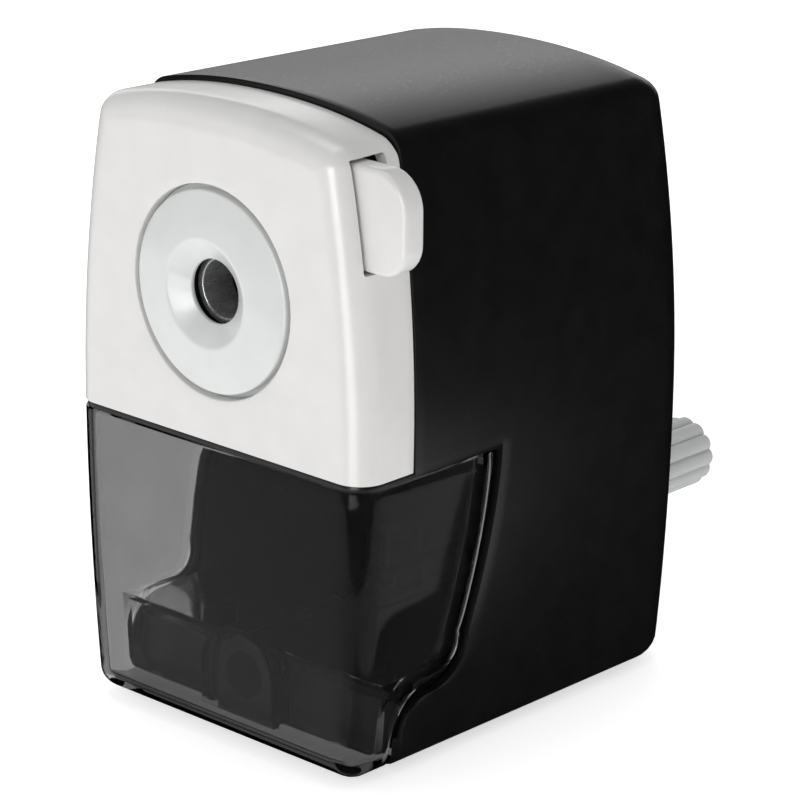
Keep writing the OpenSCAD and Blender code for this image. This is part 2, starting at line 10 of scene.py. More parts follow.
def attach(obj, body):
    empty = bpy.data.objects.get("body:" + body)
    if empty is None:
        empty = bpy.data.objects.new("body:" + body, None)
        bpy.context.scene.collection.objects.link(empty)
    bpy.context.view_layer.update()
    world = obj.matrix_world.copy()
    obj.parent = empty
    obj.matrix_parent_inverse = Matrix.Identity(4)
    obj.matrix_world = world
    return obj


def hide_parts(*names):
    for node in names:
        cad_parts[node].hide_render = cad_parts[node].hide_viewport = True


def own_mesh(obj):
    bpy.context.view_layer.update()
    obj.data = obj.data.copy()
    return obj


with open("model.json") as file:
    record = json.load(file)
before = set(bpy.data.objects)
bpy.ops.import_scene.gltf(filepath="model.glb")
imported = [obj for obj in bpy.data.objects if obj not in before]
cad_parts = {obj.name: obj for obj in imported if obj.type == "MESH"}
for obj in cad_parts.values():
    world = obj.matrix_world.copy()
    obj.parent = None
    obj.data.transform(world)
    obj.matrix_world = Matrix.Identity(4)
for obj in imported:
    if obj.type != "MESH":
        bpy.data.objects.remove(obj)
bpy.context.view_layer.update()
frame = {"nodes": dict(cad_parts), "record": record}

MM = 0.001

# ---- The body form, in millimetres, as in the CAD source ---------------------------------------

HEIGHT = 104.8
DEPTH = 78.0
WIDEST_Z = 50.6
HALF_WIDEST = 31.9
HALF_BOTTOM = 29.3
HALF_TOP = 25.7
BACK_FALL = 0.027
FOOT_GAP = 0.8
WALL = 2.0
FRONT_Y = -DEPTH / 2 - 0.1
BACK_Y = DEPTH / 2 - 0.1
STEP = 0.2                      # the panel and the drawer sit this far inside the housing
INNER = 2.3                     # inner face of the housing
FRONT_R = 4.9
BACK_R = 7.4
TOP_R = 4.6
LOW_R = 4.2
AXIS_Z = 74.4
PANEL_Z = 50.0
DRAWER_Z = 49.1
SEAM_LOW_Y = -27.3
SEAM_HIGH_Y = -25.3
SEAM_RISE = 59.8
HOLE_R = 16.9                   # round opening in the panel
PANEL_LIFT = 0.35               # the panel's lower edge stands this far above PANEL_Z
CORNER_CAP = 3.4                # beyond this inset the outline shrinks as a whole
MID_Z = 52.0
LOW_BLEND_Z = 12.0              # below this level the side stations move with the low corners
BODY_MIDDLE = (0, 0, 50)


def side_x(z):
    """Half width of the body at level z."""
    if z < WIDEST_Z:
        return HALF_WIDEST - (HALF_WIDEST - HALF_BOTTOM) * ((WIDEST_Z - z) / (WIDEST_Z - FOOT_GAP)) ** 2
    return HALF_WIDEST - (HALF_WIDEST - HALF_TOP) * ((z - WIDEST_Z) / (HEIGHT - WIDEST_Z)) ** 2


TOP_CZ = HEIGHT - TOP_R - 2.4
TOP_CX = side_x(TOP_CZ) - TOP_R * 1.02
LOW_CZ = FOOT_GAP + LOW_R
LOW_CX = side_x(LOW_CZ) - LOW_R
ARC_START = radians(10.5)       # where the side runs into the top corner
ARC_END = radians(76)           # where the corner runs into the dome
SIDE_END_Z = TOP_CZ


def fall(y):
    """Share of the height that is left at depth y."""
    return 1 - BACK_FALL * (y - FRONT_Y) / DEPTH


def lowered(z, y):
    """The level z as it stands at depth y, where the top falls toward the back."""
    return FOOT_GAP + (z - FOOT_GAP) * fall(y)


def dome(t, inset):
    """Smooth curve from the end of the corner arc, t = 0, to the middle of the top, t = 1."""
    r = TOP_R - inset
    x0, z0 = TOP_CX + r * cos(ARC_END), TOP_CZ + r * sin(ARC_END)
    z1 = HEIGHT - inset
    pull = x0
    h00, h10 = 2 * t ** 3 - 3 * t ** 2 + 1, t ** 3 - 2 * t ** 2 + t
    h01, h11 = 3 * t ** 2 - 2 * t ** 3, t ** 3 - t ** 2
    x = h00 * x0 - h10 * pull * sin(ARC_END) - h11 * pull
    return x, h00 * z0 + h10 * pull * cos(ARC_END) + h01 * z1


def on_outline(station, y, inset):
    """A point of the body form: a station is (kind, value, side), side is 1 or -1."""
    kind, value, side = station
    extra = max(inset - CORNER_CAP, 0)
    inset -= extra
    drawn_in = 1.0
    if kind == "bottom":
        x, z = value * LOW_CX, FOOT_GAP + inset
    elif kind == "low":
        x, z = LOW_CX + (LOW_R - inset) * cos(value), LOW_CZ + (LOW_R - inset) * sin(value)
    elif kind == "side":
        z = value
        if value > MID_Z:
            end = lowered(SIDE_END_Z, y)
            z = MID_Z + (value - MID_Z) * (end - MID_Z) / (SIDE_END_Z - MID_Z)
        else:
            drawn_in = min(max((DRAWER_Z - z) / (DRAWER_Z - LOW_BLEND_Z), 0), 1)
        x = side_x(FOOT_GAP + (z - FOOT_GAP) / fall(y)) - inset
    elif kind == "high":
        x, z = TOP_CX + (TOP_R - inset) * cos(value), TOP_CZ + (TOP_R - inset) * sin(value)
        z = lowered(z, y)
    else:
        x, z = dome(value, inset)
        z = lowered(z, y)
    x *= 1 - extra / (HALF_WIDEST - CORNER_CAP)
    z += (MID_Z - z) * drawn_in * extra / (MID_Z - CORNER_CAP)
    return Vector((x * side, y, z))


def spread(first, last, count):
    """Evenly spaced values, both ends included."""
    return [first + (last - first) * i / (count - 1) for i in range(count)]


def other_side(stations):
    """The same stations on the other side, in the opposite order."""
    return [(kind, value, -side) for kind, value, side in reversed(stations)]


def upper_stations(levels):
    """From the first level on the right, over the top, to the same level on the left."""
    right = [("side", z, 1) for z in levels]
    right += [("high", a, 1) for a in spread(ARC_START, ARC_END, 11)]
    right += [("top", t, 1) for t in spread(0, 1, 12)[1:-1]]
    return right + [("top", 1, 1)] + other_side(right)


def low_stations():
    """From the right side's foot, along the bottom, to the left side's foot."""
    right = [("low", a, 1) for a in spread(0, -pi / 2, 8)]
    flat = [("bottom", v, 1) for v in spread(1, -1, 15)[1:-1]]
    return right + flat + other_side(right)


# ---- The curved rear edge of the drawer's side -------------------------------------------------

EDGE_Y = -7.5
EDGE_SWEEP = 6.2
LEDGE_Y = -22.0
LEDGE_Z = 12.4
HOLLOW_R = 8.5
TOE_R = 5.6
HOLLOW_TOP = LEDGE_Z + HOLLOW_R


def rear_edge(gap, top):
    """Points (y, z) down the edge, moved forward by gap, from the level top to the low corner."""
    run = PANEL_Z - HOLLOW_TOP
    points = []
    for z in spread(top, HOLLOW_TOP, 12):
        points.append((EDGE_Y - gap - EDGE_SWEEP * ((PANEL_Z - z) / run) ** 1.5, z))
    for a in spread(radians(-12), -pi / 2, 10):
        r = HOLLOW_R - gap
        points.append((LEDGE_Y + r * cos(a), HOLLOW_TOP + r * sin(a)))
    for a in spread(pi / 2, pi, 9)[1:]:
        r = TOE_R + gap
        points.append((LEDGE_Y + r * cos(a), LEDGE_Z - TOE_R + r * sin(a)))
    toe_y = LEDGE_Y - TOE_R - gap
    points.append((toe_y, LOW_CZ + 0.9))
    return points


def seam_y(z):
    """Depth of the seam between the panel and the housing at level z."""
    return SEAM_LOW_Y + (SEAM_HIGH_Y - SEAM_LOW_Y) * (z - PANEL_Z) / SEAM_RISE


# ---- Mesh helpers ------------------------------------------------------------------------------

def linked(name, data):
    """A new object in the scene from a mesh, a light or a camera."""
    obj = bpy.data.objects.new(name, data)
    bpy.context.scene.collection.objects.link(obj)
    return obj


def new_mesh(name, points, faces, body):
    """A new object from points in millimetres, riding on a body."""
    mesh = bpy.data.meshes.new(name)
    mesh.from_pydata([Vector(p) * MM for p in points], [], faces)
    mesh.validate()
    for face in mesh.polygons:
        face.use_smooth = True
    obj = linked(name, mesh)
    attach(obj, body)
    return obj


def strip_faces(count, start_a, start_b, closed):
    """Quads between two rows of the same count."""
    faces = []
    for i in range(count if closed else count - 1):
        j = (i + 1) % count
        faces.append((start_a + i, start_a + j, start_b + j, start_b + i))
    return faces


def loft(rows, closed, cap_first=False, cap_last=False):
    """Points and faces of a skin through rows of points."""
    points = [p for row in rows for p in row]
    count = len(rows[0])
    faces = []
    for i in range(len(rows) - 1):
        faces += strip_faces(count, i * count, (i + 1) * count, closed)
    if cap_first:
        faces.append(tuple(reversed(range(count))))
    if cap_last:
        faces.append(tuple(range((len(rows) - 1) * count, len(rows) * count)))
    return points, faces


def tidy_mesh(obj, outward=None):
    """Joins doubled points and turns the faces outward."""
    bm = bmesh.new()
    bm.from_mesh(obj.data)
    bmesh.ops.remove_doubles(bm, verts=bm.verts, dist=2e-6)
    bmesh.ops.recalc_face_normals(bm, faces=bm.faces)
    if outward is not None:
        centre = Vector(outward) * MM
        score = sum((f.calc_center_median() - centre).dot(f.normal) * f.calc_area() for f in bm.faces)
        if score < 0:
            bmesh.ops.reverse_faces(bm, faces=bm.faces)
    bm.to_mesh(obj.data)
    bm.free()
    return obj


def thicken(obj, thickness):
    """Gives a skin a wall on its inner side."""
    m = obj.modifiers.new("wall", "SOLIDIFY")
    m.thickness = thickness * MM
    m.offset = -1
    m.use_even_offset = True
    return obj


def soften(obj, width, segments=3, angle=40):
    """Rounds the edges that are sharper than the angle."""
    m = obj.modifiers.new("edges", "BEVEL")
    m.width = width * MM
    m.segments = segments
    m.limit_method = "ANGLE"
    m.angle_limit = radians(angle)
    m.use_clamp_overlap = True
    m.miter_outer = "MITER_ARC"
    return obj


def cut(obj, tool, operation="DIFFERENCE"):
    """Adds a cut by a tool; bake() carries it out."""
    m = obj.modifiers.new("cut", "BOOLEAN")
    m.operation = operation
    m.object = tool
    m.solver = "EXACT"
    return obj


def bake(obj, *tools):
    """Applies the modifiers and removes the cutting tools."""
    graph = bpy.context.evaluated_depsgraph_get()
    graph.update()
    result = bpy.data.meshes.new_from_object(obj.evaluated_get(graph))
    obj.modifiers.clear()
    old = obj.data
    obj.data = result
    bpy.data.meshes.remove(old)
    for tool in tools:
        bpy.data.objects.remove(tool)
    return obj


def smooth(obj, angle=35):
    """Smooth shading, sharp where faces meet at more than the angle."""
    mesh = obj.data
    bm = bmesh.new()
    bm.from_mesh(mesh)
    for edge in bm.edges:
        edge.smooth = not (edge.is_manifold and edge.calc_face_angle(0) > radians(angle))
    for face in bm.faces:
        face.smooth = True
    bm.to_mesh(mesh)
    bm.free()
    return obj


def tool_object(points, faces, outward=None):
    """A cutting tool from points in millimetres; bake() removes it."""
    mesh = bpy.data.meshes.new("tool")
    mesh.from_pydata([Vector(p) * MM for p in points], [], faces)
    return tidy_mesh(linked("tool", mesh), outward)


def block_tool(x0, x1, y0, y1, z0, z1):
    points = [(x, y, z) for x in (x0, x1) for y in (y0, y1) for z in (z0, z1)]
    faces = [(0, 1, 3, 2), (4, 6, 7, 5), (0, 4, 5, 1), (2, 3, 7, 6), (0, 2, 6, 4), (1, 5, 7, 3)]
    return tool_object(points, faces)


def ring_at(radius, y, x=0.0, z=AXIS_Z, count=64):
    """Circle about an axis along Y."""
    return [Vector((x + radius * cos(2 * pi * i / count), y, z + radius * sin(2 * pi * i / count)))
            for i in range(count)]


def bar_tool(radius, y0, y1, x, z, count=64):
    points, faces = loft([ring_at(radius, y0, x, z, count), ring_at(radius, y1, x, z, count)],
                         True, True, True)
    return tool_object(points, faces)


def turned(name, profile, body, x=0.0, z=AXIS_Z, count=96):
    """A solid of revolution about an axis along Y; the profile is (radius, y)."""
    rows = [ring_at(r, y, x, z, count) for r, y in profile]
    points, faces = loft(rows + [rows[0]], True)
    obj = new_mesh(name, points, faces, body)
    return smooth(tidy_mesh(obj))


def rounded_profile(corners, radius, steps=4):
    """Closed profile with each corner rounded; a corner is (r, y) or (r, y, its own radius)."""
    out = []
    count = len(corners)
    for i, corner in enumerate(corners):
        p = Vector(corner[:2])
        size = corner[2] if len(corner) > 2 else radius
        before = Vector(corners[i - 1][:2]) - p
        after = Vector(corners[(i + 1) % count][:2]) - p
        reach = min(size, before.length * 0.45, after.length * 0.45)
        if reach < 0.01:
            out.append(tuple(p))
            continue
        a, b = p + before.normalized() * reach, p + after.normalized() * reach
        for k in range(steps + 1):
            t = k / steps
            out.append(tuple(a * (1 - t) ** 2 + p * 2 * t * (1 - t) + b * t ** 2))
    return out


def closed_form(inset):
    """The whole body form as a closed solid, drawn in by inset, for trimming."""
    stations = upper_stations(spread(6, SIDE_END_Z, 12)) + [
        (k, v, -s) for k, v, s in low_stations()]
    front, rear = FRONT_R - inset, BACK_R - inset
    rows = []
    for a in spread(pi / 2, 0, 6):
        rows.append([on_outline(s, FRONT_Y + inset + front * (1 - sin(a)), inset + front * (1 - cos(a)))
                     for s in stations])
    for a in spread(0, pi / 2, 7):
        rows.append([on_outline(s, BACK_Y - inset - rear * (1 - sin(a)), inset + rear * (1 - cos(a)))
                     for s in stations])
    points, faces = loft(rows, True, True, True)
    return tool_object(points, faces, BODY_MIDDLE)


def inner_parts(name, node, body, inset):
    """The features that stand inside a shell's wall, trimmed from a copy of its CAD shape."""
    mesh = frame["nodes"][node].data.copy()
    mesh.materials.clear()
    obj = tidy_mesh(linked(name, mesh))
    tool = closed_form(inset)
    cut(obj, tool, "INTERSECT")
    bake(obj, tool)
    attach(obj, body)
    return smooth(obj, 30)


# ---- Camera, light and floor -------------------------------------------------------------------

CAMERA_TURN = (43.05, 18.76, 0.36)       # azimuth, elevation and roll in degrees
CAMERA_TARGET = (0.00007, 0.00323, 0.04698)
CAMERA_DISTANCE = 0.5999


def make_camera():
    az, el, roll = (radians(a) for a in CAMERA_TURN)
    target = Vector(CAMERA_TARGET)
    back = Vector((sin(az) * cos(el), -cos(az) * cos(el), sin(el)))
    right = Vector((cos(az), sin(az), 0))
    up = back.cross(right)
    c, s = cos(roll), sin(roll)
    r, u = right * c + up * s, up * c - right * s
    data = bpy.data.cameras.new("camera")
    data.lens = 166.7
    data.sensor_width = 36
    obj = linked("camera", data)
    place = Matrix((r, u, back)).transposed().to_4x4()
    place.translation = target + back * CAMERA_DISTANCE
    obj.matrix_world = place
    bpy.context.scene.camera = obj


def area_light(name, size, radiance, place, target, diffuse=True):
    """Soft rectangular light of a given brightness, unseen by the camera."""
    data = bpy.data.lights.new(name, "AREA")
    data.shape = "RECTANGLE"
    data.size, data.size_y = size
    data.energy = radiance * pi * size[0] * size[1]
    obj = linked(name, data)
    obj.location = place
    aim = Vector(target) - Vector(place)
    obj.rotation_euler = aim.to_track_quat("-Z", "Y").to_euler()
    obj.visible_camera = False
    obj.visible_diffuse = diffuse
    return obj


def flat_stage(name, corners, level, emission, base=0.95):
    """A flat pale sheet that isn't part of the object."""
    mesh = bpy.data.meshes.new(name)
    mesh.from_pydata([(x, y, level) for x, y in corners], [], [tuple(range(len(corners)))])
    mesh.materials.append(pale_material(name, emission, base))
    obj = linked(name, mesh)
    return obj


def make_stage():
    world = bpy.data.worlds.new("studio")
    world.use_nodes = True
    background = world.node_tree.nodes["Background"]
    background.inputs["Color"].default_value = (1, 1, 1, 1)
    background.inputs["Strength"].default_value = 0.5
    world.cycles_visibility.glossy = False
    bpy.context.scene.world = world
    far = 2.5
    floor = flat_stage("floor", [(-far, -far), (far, -far), (far, far), (-far, far)], 0, 0.62)
    floor.visible_glossy = floor.visible_transmission = False
    # A pale wall all round, which only the camera sees, hides the horizon.
    wall = bpy.data.meshes.new("backdrop_wall")
    low = ring_at(2450, 0, 0, 0)
    wall.from_pydata([(p.x * MM, p.z * MM, z) for z in (0, 3) for p in low], [],
                     strip_faces(len(low), 0, len(low), True))
    wall.materials.append(pale_material("backdrop_wall", 1.0))
    backdrop = linked("backdrop_wall", wall)
    backdrop.visible_diffuse = backdrop.visible_glossy = False
    backdrop.visible_transmission = backdrop.visible_shadow = False
    # Low sheets that only the glossy faces mirror: to the left, to the right and further in front.
    for name, corners, glow in (
            ("sheet_left", [(-0.36, -0.50), (0.079, -0.0896), (0.03, -0.045), (-0.36, -0.045)], 0.9),
            ("sheet_right", [(0.079, -0.0896), (0.20, 0.023), (0.19, 0.10), (0.132, 0.098),
                             (0.072, 0.0255), (0.062, -0.065)], 1.0),
            ("sheet_front", [(0.03, -0.165), (0.14, -0.165), (0.55, -1.2), (0.12, -1.2)], 4.0)):
        sheet = flat_stage(name, corners, 0.00005, glow, 0.0)
        sheet.visible_camera = sheet.visible_diffuse = False
        sheet.visible_transmission = sheet.visible_shadow = False
    # The shaded table right under the object, as the see-through drawer shows it.
    shade = flat_stage("shade", [(-0.03, -0.042), (0.03, -0.042), (0.03, 0.04), (-0.03, 0.04)],
                       0.0001, 0.2, 0.0)
    shade.visible_camera = shade.visible_diffuse = False
    shade.visible_glossy = shade.visible_shadow = False
    area_light("key", (0.5, 0.5), 2.2, (0.2, -1.05, 0.46), (0, 0, 0.07))
    area_light("front_gloss", (0.36, 0.5), 7.0, (0.36, -0.93, 0.25), (0, 0, 0.07), diffuse=False)
    area_light("left_fill", (0.6, 0.6), 0.6, (-0.8, -0.7, 0.5), (0, 0, 0.05))
    overhead = area_light("overhead", (0.5, 0.5), 2.3, (-0.2, 0.1, 1.0), (0, 0, 0.1))
    overhead.data.color = (0.94, 0.99, 1.0)
    # Stacked soft strips behind the object, dimmer towards the top, show in the glossy lid.
    level = 0.0
    for i, (tall, radiance) in enumerate(((0.40, 0.6), (0.16, 2.3), (0.14, 0.35))):
        area_light("backdrop_%d" % i, (1.5, tall), radiance, (-0.8, 0.86, level + tall / 2),
                   (0, 0, level + tall / 2), diffuse=False)
        level += tall
    bpy.context.scene.view_settings.view_transform = "Standard"


# ---- Materials ---------------------------------------------------------------------------------

def pale_material(name, emission, base=0.95):
    """Plain finish of the stage, which isn't part of the object."""
    mat = bpy.data.materials.new(name)
    mat.use_nodes = True
    shader = mat.node_tree.nodes["Principled BSDF"]
    shader.inputs["Base Color"].default_value = (base, base, base, 1)
    shader.inputs["Roughness"].default_value = 0.8
    shader.inputs["Emission Color"].default_value = (1, 1, 1, 1)
    shader.inputs["Emission Strength"].default_value = emission
    return mat


def surface(name, dark, light, rough, grain, bump, metallic=0.0, coat=0.0, stretch=(1, 1, 1),
            transmission=0.0, specular=0.5, ior=1.5):
    """A moulded or machined surface: fine grain in its colour, its gloss and its relief.

    dark and light are the ends of the colour variation, rough the ends of the roughness,
    grain the texture scale and bump its depth in metres.
    """
    mat = bpy.data.materials.new(name)
    mat.use_nodes = True
    nodes, links = mat.node_tree.nodes, mat.node_tree.links
    shader = nodes["Principled BSDF"]
    coords = nodes.new("ShaderNodeTexCoord")
    mapping = nodes.new("ShaderNodeMapping")
    mapping.inputs["Scale"].default_value = stretch
    links.new(coords.outputs["Object"], mapping.inputs["Vector"])
    broad = nodes.new("ShaderNodeTexNoise")
    broad.inputs["Scale"].default_value = grain * 0.08
    broad.inputs["Detail"].default_value = 3
    fine = nodes.new("ShaderNodeTexNoise")
    fine.inputs["Scale"].default_value = grain
    fine.inputs["Detail"].default_value = 4
    for noise in (broad, fine):
        links.new(mapping.outputs["Vector"], noise.inputs["Vector"])
    ramp = nodes.new("ShaderNodeValToRGB")
    ramp.color_ramp.elements[0].position = 0.3
    ramp.color_ramp.elements[1].position = 0.7
    ramp.color_ramp.elements[0].color = (*dark, 1)
    ramp.color_ramp.elements[1].color = (*light, 1)
    links.new(broad.outputs["Fac"], ramp.inputs["Fac"])
    links.new(ramp.outputs["Color"], shader.inputs["Base Color"])
    gloss = nodes.new("ShaderNodeMapRange")
    gloss.inputs["From Min"].default_value = 0.3
    gloss.inputs["From Max"].default_value = 0.7
    gloss.inputs["To Min"].default_value = rough[0]
    gloss.inputs["To Max"].default_value = rough[1]
    links.new(fine.outputs["Fac"], gloss.inputs["Value"])
    links.new(gloss.outputs["Result"], shader.inputs["Roughness"])
    relief = nodes.new("ShaderNodeBump")
    relief.inputs["Strength"].default_value = 1.0
    relief.inputs["Distance"].default_value = bump
    links.new(fine.outputs["Fac"], relief.inputs["Height"])
    links.new(relief.outputs["Normal"], shader.inputs["Normal"])
    shader.inputs["Metallic"].default_value = metallic
    shader.inputs["Coat Weight"].default_value = coat
    shader.inputs["Coat Roughness"].default_value = 0.08
    shader.inputs["Transmission Weight"].default_value = transmission
    shader.inputs["Specular IOR Level"].default_value = specular
    shader.inputs["IOR"].default_value = ior
    return mat


def tinted(mat, tint, density):
    """Lets light through and dims it along its way through the plastic."""
    absorb = mat.node_tree.nodes.new("ShaderNodeVolumeAbsorption")
    absorb.inputs["Color"].default_value = (*tint, 1)
    absorb.inputs["Density"].default_value = density
    mat.node_tree.links.new(absorb.outputs["Volume"],
                            mat.node_tree.nodes["Material Output"].inputs["Volume"])
    return mat


MATERIALS = {
    "black_plastic": surface("black_plastic", (0.0058, 0.0056, 0.0060), (0.0080, 0.0078, 0.0084),
                             (0.27, 0.34), 2600, 2e-7, specular=0.42),
    # Painted shade: the black plastic made darker and matt, for pieces that lie in shadow.
    "painted_shade_black": surface("painted_shade_black", (0.0012, 0.0012, 0.0013), (0.002, 0.002, 0.0021),
                              (0.6, 0.7), 2600, 2e-7, specular=0.1),
    "white_plastic": surface("white_plastic", (0.725, 0.715, 0.70), (0.755, 0.745, 0.73),
                             (0.20, 0.27), 2200, 3e-7),
    "disc_plastic": surface("disc_plastic", (0.68, 0.695, 0.685), (0.71, 0.725, 0.715),
                            (0.16, 0.22), 2200, 3e-7),
    "smoke_plastic": tinted(surface("smoke_plastic", (0.95, 0.95, 0.95), (0.98, 0.98, 0.98),
                                    (0.03, 0.06), 1500, 5e-8, transmission=1.0, ior=1.2),
                            (0.5, 0.49, 0.5), 250),
    "grey_plastic": surface("grey_plastic", (0.58, 0.59, 0.585), (0.62, 0.63, 0.625),
                            (0.36, 0.46), 1800, 6e-7),
    "frame_plastic": surface("frame_plastic", (0.014, 0.014, 0.016), (0.020, 0.020, 0.022),
                             (0.42, 0.55), 1600, 1e-6),
    "steel": surface("steel", (0.50, 0.50, 0.51), (0.60, 0.60, 0.61), (0.22, 0.34), 1400, 3e-7,
                     metallic=0.75, stretch=(1, 0.15, 1)),
    "dark_steel": surface("dark_steel", (0.16, 0.16, 0.17), (0.24, 0.24, 0.25), (0.26, 0.40), 1500,
                          4e-7, metallic=0.75),
    "cutter_steel": surface("cutter_steel", (0.26, 0.26, 0.27), (0.36, 0.36, 0.37), (0.24, 0.36),
                            1700, 4e-7, metallic=0.75),
    "zinc": surface("zinc", (0.38, 0.385, 0.39), (0.46, 0.465, 0.47), (0.34, 0.46), 900, 8e-7,
                    metallic=0.75),
    "brass": surface("brass", (0.55, 0.40, 0.16), (0.65, 0.48, 0.20), (0.26, 0.38), 1300, 4e-7,
                     metallic=0.75),
    "rubber": surface("rubber", (0.020, 0.020, 0.021), (0.028, 0.028, 0.030), (0.72, 0.86), 1500,
                      2e-6, specular=0.3),
}


def dress(obj, slot, look=None):
    """Gives a piece its material: the look if one is given, else the slot's."""
    obj.data.materials.clear()
    obj.data.materials.append(MATERIALS[look or slot])
    return obj


def dress_cad_nodes():
    """Every CAD node takes the procedural material of its slot in the record."""
    slots = {m["slot"] for m in frame["record"]["materials"]}
    for part in frame["record"]["subparts"]:
        slot = part["material_slot"]
        node = frame["nodes"].get(part["node"])
        if node is None or slot not in slots:
            continue
        for place in node.material_slots:
            place.material = MATERIALS[slot]


# ---- Housing -----------------------------------------------------------------------------------

BASE_HALF = 25.5
BASE_BACK_Y = 31.4
BASE_TOP = 3.45
DECK_IN = 0.5
DECK_Z0 = DRAWER_Z + 0.15
DECK_Z1 = PANEL_Z + 0.2
FRAME_POSTS = ((-16, 90), (16, 90), (-14, 56), (14, 56))
SHAFT_HOLE_R = 4.62
SCREW_HOLE_R = 1.6
RECESS_R = 3.4                  # round recesses for the heads of the frame screws
RECESS_DEPTH = 1.2


def rear_rows(stations, starts, columns):
    """Rows from each station's start to the rounded rear and onto the rear face."""
    rows = []
    end = BACK_Y - BACK_R
    for i in range(columns + 1):
        rows.append([on_outline(s, y0 + (end - y0) * i / columns, 0)
                     for s, y0 in zip(stations, starts)])
    for a in spread(0, pi / 2, 12)[1:]:
        rows.append([on_outline(s, BACK_Y - BACK_R * (1 - sin(a)), BACK_R * (1 - cos(a)))
                     for s in stations])
    rows.append([on_outline(s, BACK_Y, BACK_R + 1.2) for s in stations])
    return rows


def make_housing():
    edge = rear_edge(0, PANEL_Z)
    levels = spread(PANEL_Z + 1.4, SIDE_END_Z, 14)
    right_low = [(("side", z, 1), y) for y, z in reversed(edge)]
    upper = upper_stations(levels)
    over = [(s, EDGE_Y) for s in upper]
    left_low = [(("side", z, -1), y) for y, z in edge]
    toe = LEDGE_Y - TOE_R
    under = [((k, v, -s), toe) for k, v, s in low_stations()]
    ring = right_low + over + left_low + under
    stations, starts = [s for s, _ in ring], [y for _, y in ring]
    points, faces = loft(rear_rows(stations, starts, 16), True, False, True)
    # Above the panel's lower edge the shell reaches forward to the seam.
    top = [("side", PANEL_Z, 1)] + upper + [("side", PANEL_Z, -1)]
    rows = []
    for i in range(11):
        row = []
        for s in top:
            seam = seam_y(on_outline(s, SEAM_LOW_Y, 0).z)
            row.append(on_outline(s, seam + (EDGE_Y - seam) * i / 10, 0))
        rows.append(row)
    more, more_faces = loft(rows, False)
    shift = len(points)
    faces += [tuple(i + shift for i in f) for f in more_faces]
    obj = new_mesh("housing_shell", points + more, faces, "body")
    tidy_mesh(obj, BODY_MIDDLE)
    soften(thicken(obj, INNER), 0.35)
    tools = [block_tool(-BASE_HALF, BASE_HALF, -40, BASE_BACK_Y, -2, BASE_TOP),
             bar_tool(SHAFT_HOLE_R, 30, 45, 0, AXIS_Z)]
    for x, z in FRAME_POSTS:
        tools += [bar_tool(RECESS_R, BACK_Y - RECESS_DEPTH, 45, x, z),
                  bar_tool(SCREW_HOLE_R, 30, 45, x, z)]
    for tool in tools:
        cut(obj, tool)
    dress(smooth(bake(obj, *tools)), "black_plastic")
    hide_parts("housing")
    dress(inner_parts("housing_inside", "housing", "body", INNER + 0.35), "black_plastic")
    make_rim()
    make_lip()
    make_deck()


def make_rim():
    """The step of the housing's front edge that reaches under the panel's rear edge."""
    stations = upper_stations(spread(PANEL_Z + 1.5, SIDE_END_Z, 14))
    rows = []
    for shift, inset in ((0.6, 0.9), (-0.6, 0.9), (-1.0, 1.2), (-1.0, 1.9), (0.6, 1.9)):
        row = []
        for s in stations:
            level = on_outline(s, SEAM_LOW_Y, 0).z
            row.append(on_outline(s, seam_y(level) + shift * seam_gap(level) / 0.5, inset))
        rows.append(row)
    rows.append(rows[0])
    points, faces = loft(rows, False)
    count, last = len(stations), len(rows) - 1
    faces += [tuple(i * count for i in range(last)),
              tuple(i * count + count - 1 for i in reversed(range(last)))]
    obj = new_mesh("housing_rim", points, faces, "body")
    dress(smooth(tidy_mesh(obj, (0, -27, 50))), "black_plastic")


def make_lip():
    """The strip of the housing that stands behind the drawer's curved edge."""
    for side in (1, -1):
        rows = []
        for gap in spread(-3, 1, 5):
            edge = [(y, z) for y, z in rear_edge(gap, 48.5)]
            rows.append([on_outline(("side", z, side), y, 1.3) for y, z in edge])
        points, faces = loft(rows, False)
        obj = new_mesh("housing_lip_%s" % ("right" if side > 0 else "left"), points, faces, "body")
        tidy_mesh(obj, (0, 0, 30))
        soften(thicken(obj, 1.0), 0.2, 2)
        # The lip is drawn darker and matt than the housing's black plastic: painted shade for the
        # shadowed gap behind the drawer's edge.
        dress(smooth(bake(obj)), "black_plastic", "painted_shade_black")


def make_deck():
    """The thin plate that shows as a dark line between the panel and the drawer."""
    outline = []
    radius = FRONT_R - DECK_IN
    half = side_x(DECK_Z0) - DECK_IN
    front = FRONT_Y + DECK_IN
    outline.append((half, 5))
    for a in spread(0, pi / 2, 9):
        outline.append((half - radius * (1 - cos(a)), front + radius * (1 - sin(a))))
    for a in spread(pi / 2, 0, 9):
        outline.append((-half + radius * (1 - cos(a)), front + radius * (1 - sin(a))))
    outline += [(-half, 5), (-24, 5), (-24, -32), (24, -32), (24, 5)]
    rows = [[Vector((x, y, z)) for x, y in outline] for z in (DECK_Z0, DECK_Z1)]
    points, faces = loft(rows, True, True, True)
    obj = new_mesh("housing_deck", points, faces, "body")
    tidy_mesh(obj)
    soften(obj, 0.12, 2)
    dress(smooth(bake(obj)), "black_plastic")


# ---- Front panel -------------------------------------------------------------------------------

SLOT = (22, 45, -35.85, -28.6, 82.4, 99.4)
POST_R = 2.6
POST_BORE_R = 0.95
POST_END_Y = -30.65
TOP_DROP = 0.6                  # the panel's top lies this much lower than the housing's
DROP_FROM_Z, DROP_RUN = 96, 5
SIDE_GAP = 0.15                 # seam along the sides, and how much it opens along the top
GAP_MORE = 0.35
GAP_FROM_Z, GAP_RUN = 98, 3.5
PANEL_POSTS = ((-20.5, 54.8), (-19.5, 91.5), (13, 96.5), (8.5, 54.4))


def panel_point(station, y, inset):
    """The panel's top lies a little lower than the housing's, which leaves a dark step."""
    p = on_outline(station, y, inset)
    t = min(max((p.z - DROP_FROM_Z) / DROP_RUN, 0), 1)
    p.z -= TOP_DROP * t * t * (3 - 2 * t)
    return p


